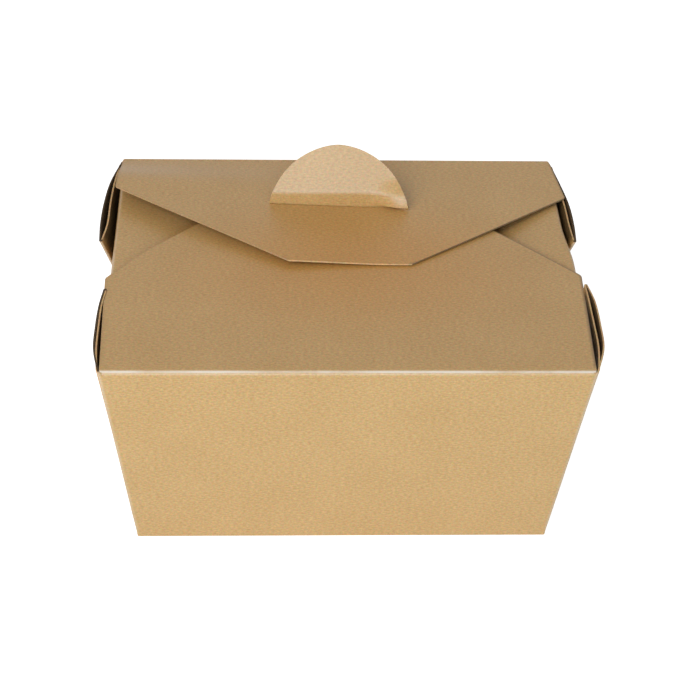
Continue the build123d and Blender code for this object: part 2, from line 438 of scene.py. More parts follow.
def add_sheet(name, grids, form):
    """A piece of board, thickened inwards from grids of skin points (x, y, z, u, v, crease) in mm.

    A seventh number sets painted shade, by how deep in a pocket the point lies: at 0.5 its inside is
    darkened, at 1 both sides are.
    """
    bm = bmesh.new()
    flat = bm.loops.layers.uv.new(SHEET_UV)
    creased = bm.verts.layers.float.new("crease")
    pocketed = bm.verts.layers.float.new("pocket")
    for grid in grids:
        verts = [[bm.verts.new(Vector(p[:3]) * MM) if p else None for p in row] for row in grid]
        for row, line in zip(grid, verts):
            for point, vert in zip(row, line):
                if vert:
                    vert[creased] = point[5]
                    vert[pocketed] = point[6] if len(point) > 6 else 0
        for i in range(len(grid) - 1):
            for j in range(len(grid[0]) - 1):
                corners = [(i, j), (i, j + 1), (i + 1, j + 1), (i + 1, j)]
                if any(verts[a][b] is None for a, b in corners):
                    continue
                face = bm.faces.new([verts[a][b] for a, b in corners])
                for loop, (a, b) in zip(face.loops, corners):
                    loop[flat].uv = (grid[a][b][3] * MM, grid[a][b][4] * MM)
    bmesh.ops.remove_doubles(bm, verts=bm.verts, dist=0.004 * MM)
    loose = [vert for vert in bm.verts if not vert.link_faces]
    bmesh.ops.delete(bm, geom=loose, context="VERTS")
    sheet = placed_mesh(name, bm, board_materials(form.finish))
    wall = sheet.modifiers.new("Board", "SOLIDIFY")
    wall.thickness = form.tray.board * MM
    wall.offset = -1
    wall.use_even_offset = True
    wall.material_offset = 1
    wall.material_offset_rim = 2
    return made_plain(sheet)


def made_plain(piece):
    """The piece with its modifiers turned into plain mesh, and shaded."""
    bpy.context.view_layer.update()
    graph = bpy.context.evaluated_depsgraph_get()
    mesh = bpy.data.meshes.new_from_object(piece.evaluated_get(graph), depsgraph=graph)
    old, name = piece.data, piece.name
    piece.modifiers.clear()
    piece.data = mesh
    bpy.data.meshes.remove(old)
    mesh.name = name
    shade(mesh)
    return piece


def dress(piece, node, body=None):
    """Ties a finished piece to its body, if it has one, and hides the solid that it stands for."""
    if body:
        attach(piece, body)
    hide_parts(node)


# Tray: base, front and back walls, corner webs, front flap and tab


BULGE_PLACES = (0.28, 0.55, 0.8)
INNER_BULGE = 0.45
ROOT = 0.05


def web_path(form, web, z):
    """Outline of a web at one height, from the upright corner round its ridge and back to its root.

    Each point is (distance from the corner, distance out from the end wall's plane, crease, pocket); the
    crease sets a painted highlight, and the pocket painted shade.
    """
    reach, *bulges, tip, _ = web
    share, double, radius = z / form.height, form.tray.web_fold, form.tray.web_fold / 2
    far, turn, tip_out = reach * share, form.corner_length(z, web), tip * share
    outer = [(0, 0)] + [(place * far, bulge * share) for place, bulge in zip(BULGE_PLACES, bulges)]
    inner = [(u, INNER_BULGE * out - double * (1 - share)) for u, out in outer]
    outer.append((far, tip_out))
    inner.append((far, tip_out - double))
    start = (turn, through(outer, turn))
    path = []
    # Round the upright corner, with a faint painted highlight, while painted shade grows on its inside
    for i in range(7):
        t = i / 6
        path.append((start[0] * t * t, start[1] * t * t - turn * (1 - t) ** 2, 0.2 * sin(pi * t), 0.5 * t))
    # Along the outer panel, its inside in painted shade
    for i in range(1, 25):
        u = lerp(turn, far, 1 - (1 - i / 24) ** 1.2)
        path.append((u, through(outer, u), 0.0, 0.5))
    # Round the ridge, with a painted highlight
    for i in range(1, 8):
        a = pi * i / 8
        path.append((far + radius * sin(a), tip_out - radius + radius * cos(a), 0.3 * sin(a), 0.5))
    # Back along the inner panel, into the pocket, where painted shade soon darkens both sides
    for i in range(17):
        u = lerp(far, ROOT * far, (i / 16) ** 1.4)
        path.append((u, through(inner, u), 0.0, 0.5 + 0.5 * smooth(i / 3)))
    return path


def web_grid(form, web, side_x, side_y, levels, dark_edge):
    """Skin of one web from its levels (z, flat distance); with dark_edge its outer panel's top edge gets a
    painted shadow line.
    """
    reach, rise = web[0], web[-1]
    rows = []
    for z, s in levels:
        share = z / form.height
        path = web_path(form, web, z)
        row, flat_u, before = [], form.wall_end(z, web), path[0]
        for u, out, crease, pocket in path:
            flat_u += hypot(u - before[0], out - before[1])
            before = (u, out)
            # The outer panel's top edge is painted black, as shadow
            if dark_edge and z == levels[-1][0] and pocket == 0.5:
                crease = EDGE_BLACK
            lift = rise * share**6 * smooth((u / (reach * share) - 0.55) / 0.45)
            x = side_x * (form.half_width(z) + out)
            y = side_y * (form.half_depth(z) - u)
            row.append((x, y, z + lift, side_x * flat_u, -side_y * s, crease, pocket))
        rows.append(row if side_x * side_y < 0 else row[::-1])
    return rows


def tray_runs(form, flap):
    """Side views of the sheet from the middle of the base: back to the crease, and forward to the tab."""
    fold_y = -form.half_depth(form.height)
    bend_y = HINGE.y - flap.tab_reach
    bend_z = form.height - (bend_y - fold_y) * tan(flap.slope)
    strip_turn = asin((form.height + flap.tab_strip - HINGE.z) / flap.tab_reach)
    top_turn = asin((flap.tab_top - HINGE.z) / flap.tab_reach)
    strip, top = [
        (HINGE.y - flap.tab_reach * cos(a), HINGE.z + flap.tab_reach * sin(a))
        for a in (strip_turn, top_turn)
    ]
    front = Run(
        [(0, 0), (-form.half_depth(0), 0), (fold_y, form.height), (bend_y, bend_z), strip, top],
        (form.tray.base_fold, flap.fold, flap.tab_crease, flap.tab_bend),
    )
    back = Run(
        [(0, 0), (form.half_depth(0), 0), (form.half_depth(form.back_top), form.back_top)],
        (form.tray.base_fold,),
    )
    return back, front


def wall_rows(run, form, web):
    """Rows (distance, y, z, crease, (left, right) half-widths) of the base and a wall up to its end."""
    rows = []
    top = run.end_of(1)
    fold_top = run.at(run.end_of(0.5))[1]
    for s in run.stations(WALL_STEP):
        if s > top + 1e-6:
            break
        y, z, crease = run.at(s)
        place = run.place(s)
        half = form.base_edge
        if place == 1:
            half = form.wall_end(z, web)
        elif place == 0.5:
            half = lerp(form.base_edge, form.wall_end(fold_top, web), smooth(2 * z / fold_top))
        # The folds round the base get no painted highlight
        rows.append((s, y, z, crease * smooth(z / 10), (half, half)))
    return rows


RIM_INSET = 0.4


def front_flap_rows(run, form, flap, web):
    """Rows of the rim fold and the front flap, as far as the row where its sides end."""
    fold_y = -form.half_depth(form.height)
    flap_end = (HINGE.y - flap.tab_reach - fold_y) / cos(flap.slope) - flap.end_gap
    start, end = (0, form.half_width(form.height) - RIM_INSET), (flap_end, flap.end_half)
    outlines = [
        Run([start, edge[:2], edge[2:], end], (flap.corner, flap.edge_bend))
        for edge in (flap.left_edge, flap.right_edge)
    ]
    wall_top, fold_end = run.end_of(1), run.end_of(1.5)
    fold_length = -fold_y + run.at(fold_end)[0]
    rows = []
    wall_half = form.wall_end(run.at(wall_top)[1], web)
    for s in run.marks:
        if wall_top + 1e-6 < s <= fold_end + 1e-6:
            share = smooth((s - wall_top) / (fold_end - wall_top))
            halves = [lerp(wall_half, width_at(outline, fold_length), share) for outline in outlines]
            rows.append((s, *run.at(s), halves))
    marks = [[point[0] for point in outline.points[1:]] for outline in outlines]
    for reach in merged(*marks, spread(fold_length, flap_end, FRONT_STEP), gap=0.1):
        if reach > fold_length + 0.1:
            s = fold_end + reach - fold_length
            rows.append((s, *run.at(s), [width_at(outline, reach) for outline in outlines]))
    return rows


MOON_ROWS = 40
MOON_TAPER = 0.04
MOON_POWER = 1.14


def tab_rows(run, form, flap, start):
    """Rows (distance, y, z, crease, scale, widest) of the neck and half-moon, and where the ears start."""
    ear_z = form.height + flap.ear_gap
    crease_end = run.end_of(2.5)
    ear_start = next(s for s in spread(crease_end, crease_end + 3, 0.01) if run.at(s)[1] >= ear_z)
    neck = [s for s in merged(run.marks, [crease_end + 0.5]) if start < s < ear_start]
    rows = [(s, *run.at(s), 1.0, flap.neck) for s in neck]
    moon = run.length - ear_start
    for i in range(MOON_ROWS + 1):
        turn = pi / 2 * i / MOON_ROWS
        s = ear_start + moon * sin(turn)
        narrow = 1 - MOON_TAPER * smooth(2 * sin(turn))
        rows.append((s, *run.at(s), narrow * max(cos(turn), 1e-5) ** MOON_POWER, flap.tab_half))
    return rows, ear_start


def ear_pop(flap, x, above):
    """How far the right ear has sprung out of the tab's plane, at a height above the ears' lower edge."""
    low = smooth((x - flap.neck) / (flap.tab_half - flap.neck)) if above > -1e-6 else 0
    # Over the first 0.6 mm the pop spreads from the ear to more than half of the right side
    high = smooth((x / flap.tab_half - 0.45) / 0.45)
    return flap.ear_pop * lerp(low, high, smooth(above / 0.6)) * (1 - smooth(above / (2 * flap.tab_strip)))


class OBJECT_OT_lunchbox_tray(bpy.types.Operator):
    """Fold the base, the front and back walls, the webs and the front flap with its tab"""

    bl_idname = "object.lunchbox_tray"
    bl_label = "Tray and front flap"

    def execute(self, context):
        form = TrayForm(context.scene.lunchbox)
        flap, webs = form.front_flap, form.webs
        back, front = tray_runs(form, flap)
        back_rows = wall_rows(back, form, webs.back_left)
        front_rows = wall_rows(front, form, webs.front_left)
        flap_rows = front_flap_rows(front, form, flap, webs.front_left)
        rows = [(-s, *rest) for s, *rest in back_rows[:0:-1]] + front_rows + flap_rows
        grids = [self.middle_grid(form, flap, front, rows)]
        grids += self.web_grids(form, webs, back_rows, front_rows)
        dress(add_sheet("tray", grids, form), "carton", "root")
        return {"FINISHED"}

    def middle_grid(self, form, flap, run, rows):
        """The strip of sheet from the back crease over the base and the front flap to the top of the tab."""
        # Columns: shares of the tab's half-width, and of the way from there to the edge
        inner = [flap.tab_half * f for f in (0, 0.12, 0.24, 0.36, 0.48, 0.6, 0.7, 0.78)]
        inner += [flap.neck, 0.5 * (flap.neck + flap.tab_half), flap.tab_half]
        outer = (0.06, 0.14, 0.24, 0.35, 0.46, 0.57, 0.67, 0.76, 0.84, 0.9, 0.95, 0.98, 1)
        grid = []
        for s, y, z, crease, (left, right) in rows:
            xs = [-lerp(flap.tab_half, left, f) for f in reversed(outer)]
            xs += both_sides(inner) + [lerp(flap.tab_half, right, f) for f in outer]
            row = [(x, y, z, x, s, crease) for x in xs]
            # Past the rim fold, painted shadow lines along the flap's slanted sides, faint on the left and
            # dark on the right
            if s > run.end_of(1.5) + 0.1:
                row[0], row[-1] = (*row[0][:5], EDGE_FAINT), (*row[-1][:5], EDGE_DARK)
            grid.append(row)
        moon, ear_start = tab_rows(run, form, flap, rows[-1][0])
        for s, y, z, crease, scale, widest in moon:
            above, row = s - ear_start, []
            lean = flap.tab_lean * smooth(0.5 + above / flap.tab_half)
            for c in both_sides(inner):
                x = c * scale
                # The tab keeps a tenth of its folds' painted highlight
                point = (x - lean, y - ear_pop(flap, x, above), z, x, s, 0.1 * crease)
                row.append(point if abs(c) <= widest + 1e-6 else None)
            grid.append([None] * len(outer) + row + [None] * len(outer))
        return grid

    def web_grids(self, form, webs, back_rows, front_rows):
        """The four webs, whose levels follow the rows of the wall that each hangs on."""
        grids = []
        for side_y, wall, drop, pair in (
            (1, back_rows, webs.back_drop, (webs.back_left, webs.back_right)),
            (-1, front_rows, webs.front_drop, (webs.front_left, webs.front_right)),
        ):
            levels = [(z, s) for s, _, z, _, _ in wall if z > 0.8 * form.tray.base_fold]
            wall_z, wall_s = levels[-1]
            above = spread(wall_z, form.height - drop, WEB_STEP)[1:]
            levels += [(z, wall_s + z - wall_z) for z in above]
            for side_x, web in zip((-1, 1), pair):
                # The front right web's edge gets no painted shadow line
                dark_edge = web is not webs.front_right
                grids.append(web_grid(form, web, side_x, side_y, levels, dark_edge))
        return grids


# End walls with their flaps


END_COLUMNS = 24
END_SHADE = 0.13
SAG_POWER = 1.6


class OBJECT_OT_lunchbox_ends(bpy.types.Operator):
    """Fold both end walls with the flaps that lie lowest"""

    bl_idname = "object.lunchbox_ends"
    bl_label = "End walls and flaps"

    def execute(self, context):
        form = TrayForm(context.scene.lunchbox)
        flap, webs = form.end_flap, form.webs
        fold = (form.end_half_width(form.end_fold_z), form.end_fold_z)
        far = (fold[0] - flap.reach * cos(flap.slope), fold[1] - flap.reach * sin(flap.slope))
        corners = [(form.base_edge, 0), (form.end_half_width(0), 0), fold, far]
        run = Run(corners, (form.tray.base_fold, flap.fold))
        rows = self.end_rows(form, flap, run)
        wall_top, fold_end = run.end_of(1), run.end_of(1.5)
        columns = [f / END_COLUMNS for f in range(-END_COLUMNS, END_COLUMNS + 1)]
        for name, side, front, back, sag, bow in (
            ("end_right", 1, webs.front_right, webs.back_right, flap.right_sag, flap.right_bow),
            ("end_left", -1, webs.front_left, webs.back_left, flap.sag, 0),
        ):
            grid = []
            for s, x, z, crease, half in rows:
                row = []
                z -= sag * (max(0, s - fold_end) / (run.length - fold_end)) ** SAG_POWER
                # The bow is 40 mm wide, and dies out over 15 mm of the flap
                bowed = bow * (z / form.end_fold_z) ** 2 * (1 - smooth((s - fold_end) / 15))
                for c in columns:
                    y = side * c * half
                    out = bowed * cos(pi / 2 * min(abs(y) / 20, 1)) ** 2
                    # Painted shade on the end wall where the webs cover it, and on the right flap, growing
                    # towards its free end
                    covered = 0
                    if s <= wall_top + 0.1:
                        reach = (back if y > 0 else front)[0] * z / form.height
                        covered = smooth((abs(y) - form.half_depth(z) + reach) / 3)
                    elif side > 0 and s > fold_end:
                        covered = 0.5 + END_SHADE * smooth((s - fold_end) / 30)
                    row.append((side * (x + out), y, z, side * s, y, crease, covered))
                grid.append(row)
            dress(add_sheet(name, [grid], form), "carton", "root")
        return {"FINISHED"}

    def end_rows(self, form, flap, run):
        """Rows (distance, x, z, crease, half-width) of an end wall and its flap, before the flap sags."""
        board, fold_z = form.tray.board, form.end_fold_z
        root_half = form.half_depth(fold_z) - board - flap.side_gap
        base_half = form.half_depth(0) - form.tray.base_fold
        round_start = run.length - flap.corner
        stations = [s for s in run.stations(FLAP_STEP) if s < round_start]
        stations += [round_start + flap.corner * sin(pi / 2 * i / 10) for i in range(11)]
        rows = []
        for s in stations:
            x, z, crease = run.at(s)
            place = run.place(s)
            if place <= 0.5:
                half = lerp(base_half, form.half_depth(z) - board, smooth(z / form.tray.base_fold))
            elif place == 1:
                # The wall narrows to its flap from 4 to 2 mm below the fold
                half = lerp(form.half_depth(z) - board, root_half, smooth((z - fold_z + 4) / 2))
            else:
                half = root_half - (s - run.end_of(1)) * tan(flap.taper)
                along = max(s - round_start, 0)
                half -= flap.corner - sqrt(max(flap.corner**2 - along**2, 0))
            # The end folds get a faint painted highlight
            rows.append((s, x, z, 0.3 * crease, half))
        return rows


# Back flap and the crease that it swings on


STRIP_LAP = 0.3
ARC_POINTS = 13
ARC_CREASE = 0.25
INNER_ROUND = 0.05
SKIN_STEP = 0.1


def back_flap_lift(flap, x, s):
    """How far the flap has sprung up at a place: most at the left shoulder, less at the left of the tip."""
    # The shoulder's spring starts 8 mm right of the middle, and is whole 66 mm left of it
    side = min(max((8 - x) / 74, 0), 1) ** 1.2
    shoulder = flap.corner_lift * side * smooth(s / 16)
    # The tip's is nought at its right corner, and grows between 22 and 46 mm from the crease
    tip = flap.tip_lift * smooth((17 - x) / 34) * smooth((s - 22) / 24)
    return shoulder + tip


class OBJECT_OT_lunchbox_back_flap(bpy.types.Operator):
    """Make the back flap with its slit, and the crease strip that joins it to the back wall"""

    bl_idname = "object.lunchbox_back_flap"
    bl_label = "Back flap"

    def execute(self, context):
        form = TrayForm(context.scene.lunchbox)
        self.add_panel(form, form.back_flap)
        self.add_crease(form, form.back_flap)
        return {"FINISHED"}

    def add_panel(self, form, flap):
        rim_half = form.half_width(form.height)
        root, shoulder = (0, rim_half - flap.inset), (flap.shoulder, rim_half + flap.overhang)
        tip, tip_middle = (flap.reach, flap.end_half), (flap.reach, 0)
        outline = Run([root, shoulder, tip, tip_middle], (flap.corner, flap.corner))
        slit = (flap.slit_reach - flap.slit_width / 2, flap.slit_reach + flap.slit_width / 2)
        marks = [point[0] for point in outline.points[1:-1]]
        start = form.tray.crease_strip - STRIP_LAP
        reaches = merged([start], slit, marks, spread(start, flap.reach, FLAP_STEP), gap=0.02)[::-1]
        # Columns: shares of the slit's half-length, and of the way from there to the edge
        inner = (0, 0.14, 0.28, 0.42, 0.56, 0.7, 0.82, 0.92, 1)
        outer = (0.05, 0.13, 0.22, 0.32, 0.42, 0.52, 0.62, 0.72, 0.81, 0.89, 0.95, 0.985, 1)
        end_columns = slice(0, len(outer) + 1), slice(-len(outer) - 1, None)
        flare = form.half_depth(form.height) - form.half_depth(0)
        wall_length = form.half_depth(0) + hypot(form.height, flare)
        rows = []
        for s in reaches:
            half = width_at(outline, s)
            middle = min(flap.slit_half, half)
            xs = [middle * f for f in inner] + [lerp(middle, half, f) for f in outer]
            row = []
            for x in both_sides(xs):
                # The tip has shifted, but the slit stays round the tab
                free = max(smooth((s - slit[1]) / 14), smooth((abs(x) - flap.slit_half) / 12))
                shift = free * flap.tip_shift * s / flap.reach
                z = form.height + back_flap_lift(flap, x, s)
                crease = 0.0
                # Painted shadow lines under the slanted sides, darker on the right
                if s < flap.reach - 0.1 and abs(x) > half - 0.01:
                    crease = EDGE_TAN if x < 0 else EDGE_BROWN
                row.append((x + shift, HINGE.y - s, z, x, -wall_length - s, crease))
            rows.append(row)
        # Two rows bound the slit, and only their outer ends are joined
        cut = reaches.index(slit[1])
        left, right = [[row[ends] for row in rows[cut : cut + 2]] for ends in end_columns]
        grids = [rows[: cut + 1], rows[cut + 1 :], left, right]
        dress(add_sheet("back_flap_panel", grids, form), "back_flap", HINGE_BODIES[1])

    def crease_section(self, form):
        """Section of the strip round the crease: a skin on a small arc, and inner faces up to a corner."""
        board, radius, top = form.tray.board, form.height - HINGE.z, form.height
        end = HINGE.y - form.tray.crease_strip + STRIP_LAP
        skin = [(form.half_depth(z), z) for z in (form.back_top, 0.5 * (form.back_top + HINGE.z))]
        for i in range(ARC_POINTS):
            a = pi / 2 * i / (ARC_POINTS - 1)
            skin.append((HINGE.y + radius * cos(a), HINGE.z + radius * sin(a)))
        skin += [(lerp(HINGE.y, end, 0.5), top), (end, top)]
        corner = (form.half_depth(top - board) - board, top - board)
        inside = [(end, top - board), (lerp(corner[0], end, 0.5), top - board)]
        for i in range(5):
            a = pi / 2 * (1 + i / 4)
            y = corner[0] - INNER_ROUND * (1 + cos(a + pi / 2))
            inside.append((y, corner[1] - INNER_ROUND * (1 - sin(a))))
        inside.append((form.half_depth(form.back_top) - board, form.back_top))
        return skin, inside

    def add_crease(self, form, flap):
        skin, inside = self.crease_section(form)
        ring = skin + inside
        bm = bmesh.new()
        flat = bm.loops.layers.uv.new(SHEET_UV)
        creased = bm.verts.layers.float.new("crease")
        wall_half = form.half_width(form.back_top) - form.tray.corner_fold
        flap_half = form.half_width(form.height) - flap.inset
        stations = spread(-1, 1, 0.08)
        rings = []
        for t in stations:
            line = []
            for k, (y, z) in enumerate(ring):
                # The strip is as wide as the wall behind the hinge, and as the flap in front of it
                near = smooth((HINGE.y + 0.3 - y) / 0.6)
                vert = bm.verts.new(Vector((t * lerp(wall_half, flap_half, near), y, z)) * MM)
                # The arc round the back crease gets a faint painted highlight
                vert[creased] = ARC_CREASE if 2 <= k < 2 + ARC_POINTS else 0.0
                line.append(vert)
            rings.append(line)
        start_v = form.half_depth(0) + form.back_top
        count = len(ring)
        for i in range(len(rings) - 1):
            for k in range(count):
                n = (k + 1) % count
                face = bm.faces.new((rings[i][k], rings[i][n], rings[i + 1][n], rings[i + 1][k]))
                face.material_index = 0 if n < len(skin) and n > 0 else 1
                for loop, (a, b) in zip(face.loops, ((i, k), (i, k + 1), (i + 1, k + 1), (i + 1, k))):
                    loop[flat].uv = (stations[a] * flap_half * MM, -(start_v + SKIN_STEP * b) * MM)
        for line in (rings[0][::-1], rings[-1]):
            bm.faces.new(line).material_index = 2
        bmesh.ops.triangulate(bm, faces=[f for f in bm.faces if len(f.verts) > 4])
        bmesh.ops.recalc_face_normals(bm, faces=bm.faces)
        crease = placed_mesh("back_crease", bm, board_materials(form.finish))
        shade(crease.data)
        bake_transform(crease)
        dress(crease, "back_flap")


# Crease beads, which follow the fold lines inside the tray


BEAD_SIDES = 10


def bead_tree(material):
    """Geometry nodes that run a thin bead along every edge of a mesh."""
    tree = bpy.data.node_groups.new("Crease bead", "GeometryNodeTree")
    face = tree.interface
    face.new_socket("Fold lines", in_out="INPUT", socket_type="NodeSocketGeometry")
    radius = face.new_socket("Bead radius", in_out="INPUT", socket_type="NodeSocketFloat")
    sides = face.new_socket("Sides", in_out="INPUT", socket_type="NodeSocketInt")
    face.new_socket("Beads", in_out="OUTPUT", socket_type="NodeSocketGeometry")
    nodes = Nodes(tree)
    given = nodes.add("NodeGroupInput").outputs
    curve = nodes.add("GeometryNodeMeshToCurve", {"Mesh": given["Fold lines"]})
    profile = nodes.add(
        "GeometryNodeCurvePrimitiveCircle", {"Resolution": given["Sides"], "Radius": given["Bead radius"]}
    )
    tube = nodes.add(
        "GeometryNodeCurveToMesh",
        {"Curve": curve.outputs["Curve"], "Profile Curve": profile.outputs["Curve"], "Fill Caps": True},
    )
    real = nodes.add("GeometryNodeRealizeInstances", {"Geometry": tube.outputs["Mesh"]})
    solid = real.outputs["Geometry"]
    paper = nodes.add("GeometryNodeSetMaterial", {"Geometry": solid, "Material": material})
    nodes.add("NodeGroupOutput", {"Beads": paper.outputs["Geometry"]})
    return tree, radius.identifier, sides.identifier


class OBJECT_OT_lunchbox_beads(bpy.types.Operator):
    """Run the raised crease beads along the folds inside the tray"""

    bl_idname = "object.lunchbox_beads"
    bl_label = "Crease beads"

    def execute(self, context):
        form = TrayForm(context.scene.lunchbox)
        board, fold = form.tray.board, form.front_flap.fold
        deep = form.half_depth(board) - board
        wide = form.end_half_width(board) - board
        # Each bead lies a little inside its fold and ends short of the corners
        rim_y = -form.half_depth(form.height) + board + fold / 2
        rim_z = form.height - board - fold / 2
        rim_x = form.half_width(rim_z) - 2
        end_z = form.end_fold_z - board - 0.35
        end_x = form.end_half_width(end_z) - board - 0.2
        end_y = form.half_depth(end_z) - 3
        lines = [((-wide, y, board), (wide, y, board)) for y in (-deep, deep)]
        lines += [((x, -deep, board), (x, deep, board)) for x in (-wide, wide)]
        lines.append(((-rim_x, rim_y, rim_z), (rim_x, rim_y, rim_z)))
        lines += [((x, -end_y, end_z), (x, end_y, end_z)) for x in (end_x, -end_x)]
        verts, edges = [], []
        for start, end in lines:
            edges.append((len(verts), len(verts) + 1))
            verts += [Vector(start) * MM, Vector(end) * MM]
        mesh = bpy.data.meshes.new("crease_beads")
        mesh.from_pydata(verts, edges, [])
        beads = placed("crease_beads", mesh)
        _, inside, _ = board_materials(form.finish)
        tree, radius, sides = bead_tree(inside)
        maker = beads.modifiers.new("Crease bead", "NODES")
        maker.node_group = tree
        maker[radius] = form.finish.bead * MM
        maker[sides] = BEAD_SIDES
        dress(made_plain(beads), "carton", "root")
        return {"FINISHED"}


# Finishes


class Nodes:
    """A node tree being filled, where every call adds one node."""

    def __init__(self, tree):
        self.tree = tree
        tree.nodes.clear()

    def add(self, kind, inputs=None, **settings):
        """Adds a node with its settings, and links or fills its inputs by name or number."""
        node = self.tree.nodes.new(kind)
        for name, value in settings.items():
            setattr(node, name, value)
        for key, value in (inputs or {}).items():
            if isinstance(value, bpy.types.NodeSocket):
                self.tree.links.new(value, node.inputs[key])
            else:
                node.inputs[key].default_value = value
        return node

    def math(self, operation, *values):
        return self.add("ShaderNodeMath", dict(enumerate(values)), operation=operation).outputs[0]

    def vector(self, operation, *values):
        return self.add("ShaderNodeVectorMath", dict(enumerate(values)), operation=operation).outputs[0]

    def ramp(self, value, source, result, **settings):
        """Carries a value from one range of numbers to another."""
        ends = {"From Min": source[0], "From Max": source[1], "To Min": result[0], "To Max": result[1]}
        return self.add("ShaderNodeMapRange", {"Value": value, **ends}, **settings).outputs[0]

    def mix(self, factor, first, second):
        inputs = {"Factor": factor, 6: first, 7: second}
        return self.add("ShaderNodeMix", inputs, data_type="RGBA").outputs[2]

    def noise(self, place, scale, detail, roughness=0.5):
        inputs = {"Vector": place, "Scale": scale, "Detail": detail, "Roughness": roughness}
        return self.add("ShaderNodeTexNoise", inputs, noise_dimensions="2D").outputs


# Where the painted warm shade round the lock lies, and its tint
SHADE_PATCH_CENTRE = (3, -3, 65)
SHADE_PATCH_RADII = (64, 40, 5)
SHADE_PATCH_TINT = (1.0, 0.83, 0.58)
# Colour of the painted highlight along the folds
FOLD_HIGHLIGHT = "#e3dacd"
RAW_FLECK = 0.85


def painted_warm_shade(nodes, colour, lock_shade_level):
    """Painted warm shade on the top round the lock: darker and warmer brown near the tab, fading out over
    the flaps.
    """
    place = nodes.add("ShaderNodeTexCoord").outputs["Object"]
    offset = nodes.vector("SUBTRACT", place, Vector(SHADE_PATCH_CENTRE) * MM)
    scaled = nodes.vector("MULTIPLY", offset, [1 / (radius * MM) for radius in SHADE_PATCH_RADII])
    distance = nodes.add("ShaderNodeVectorMath", {0: scaled}, operation="LENGTH").outputs["Value"]
    shade_share = nodes.ramp(distance, (0.05, 1.1), (lock_shade_level, 0.0), interpolation_type="SMOOTHSTEP")
    return nodes.mix(shade_share, colour, nodes.vector("MULTIPLY", colour, SHADE_PATCH_TINT))


def kraft_paper(name, paper, fleck, roughness, gloss, fibre_depth, pocket_start, edge_shade, lock_shade_level):
    """Kraft board: long brown fibres lying across the sheet, a few dark shives, and cloudy formation.

    The coated side has a thin satin film that mirrors pale surroundings softly; the raw side is matt.
    """
    material = bpy.data.materials.new(name)
    material.use_nodes = True
    nodes = Nodes(material.node_tree)
    flat = nodes.add("ShaderNodeUVMap", uv_map=SHEET_UV).outputs["UV"]
    # Sheet coordinates in millimetres
    sheet = nodes.vector("MULTIPLY", flat, (1000, 1000, 1000))
    # Fibres: 1.2 mm long and 0.4 mm wide, drawn as coarse as the render can show
    along = nodes.add("ShaderNodeMapping", {"Vector": sheet, "Scale": (0.85, 2.5, 1)}).outputs[0]
    fibres = nodes.noise(along, 1.0, 3.0, 0.6)[0]
    # Formation: soft clouds 14 mm across, where the pulp lay thicker
    clouds = nodes.noise(sheet, 0.07, 2.0)[0]
    # Shives: dark specks about 0.5 mm across, some 6 mm apart
    speck = nodes.ramp(nodes.noise(sheet, 1.1, 1.0)[0], (0.68, 0.8), (0.0, 0.2))
    mottle = nodes.math("MULTIPLY_ADD", clouds, 0.15, nodes.math("MULTIPLY", fibres, 0.85))
    share = nodes.ramp(mottle, (0.25, 0.75), (0.0, 1.0))
    bright = [2 * p - f for p, f in zip(paper, fleck)]
    tone = nodes.mix(share, (*fleck, 1), (*bright, 1))
    specked = nodes.mix(speck, tone, (*[0.5 * f for f in fleck], 1))
    # Mixed pulps: redder and greener fibres in grains 0.6 mm across
    grains = nodes.noise(sheet, 1.5, 3.0, 0.7)["Color"]
    grain = nodes.vector("MULTIPLY_ADD", grains, (0.78, 0.68, 1.0), (0.61, 0.66, 0.5))
    # Painted warm shade round the lock
    warm_shaded = painted_warm_shade(nodes, nodes.vector("MULTIPLY", specked, grain), lock_shade_level)
    # A painted highlight along the folds, uneven with the clouds
    crease = nodes.add("ShaderNodeAttribute", attribute_name="crease").outputs["Fac"]
    pale = nodes.math("MULTIPLY", crease, nodes.ramp(clouds, (0.35, 0.6), (0.5, 0.95)))
    highlighted = nodes.mix(pale, warm_shaded, (*linear(FOLD_HIGHLIGHT), 1))
    # Painted shade darkens the narrow pockets of the webs, the end walls under them and the right end flap
    pocket = nodes.add("ShaderNodeAttribute", attribute_name="pocket").outputs["Fac"]
    dim = nodes.ramp(pocket, (pocket_start, pocket_start + 0.5), (1.0, 0.25))
    # Painted shadow lines along cut edges, where the crease attribute is below nought
    edge_shadow = nodes.ramp(crease, (EDGE_BLACK, 0.0), (edge_shade, 1.0))
    depth = nodes.math("MULTIPLY", dim, edge_shadow)
    dusky = nodes.add("ShaderNodeVectorMath", {0: highlighted, "Scale": depth}, operation="SCALE").outputs[0]
    bump = nodes.add("ShaderNodeBump", {"Height": fibres, "Strength": 0.5, "Distance": fibre_depth * MM})
    look = {"Base Color": dusky, "Roughness": roughness, "IOR": 1.5, "Specular IOR Level": gloss}
    shader = nodes.add("ShaderNodeBsdfPrincipled", {**look, "Normal": bump.outputs[0]})
    nodes.add("ShaderNodeOutputMaterial", {"Surface": shader.outputs[0]})


def board_materials(finish):
    """Coated outside, raw inside and cut edge, made once."""
    names = ("kraft board, satin coated", "kraft board, uncoated", "kraft board, cut edge")
    if names[0] not in bpy.data.materials:
        inside, edge = [(tone, [RAW_FLECK * c for c in tone]) for tone in (finish.inside, finish.cut_edge)]
        coated = {"gloss": 0.5, "fibre_depth": 0.03, "pocket_start": 0.5, "edge_shade": 0.3, "lock_shade_level": 1.0}
        raw = {"gloss": 0.3, "fibre_depth": 0.05, "pocket_start": 0.0, "edge_shade": 0.8, "lock_shade_level": 0.5}
        cut = {"gloss": 0.3, "fibre_depth": 0.05, "pocket_start": 1.5, "edge_shade": 0.12, "lock_shade_level": 0.0}
        kraft_paper(names[0], finish.outside, finish.outside_fleck, roughness=0.38, **coated)
        kraft_paper(names[1], *inside, roughness=0.75, **raw)
        kraft_paper(names[2], *edge, roughness=0.85, **cut)
    return [bpy.data.materials[name] for name in names]


# Stage


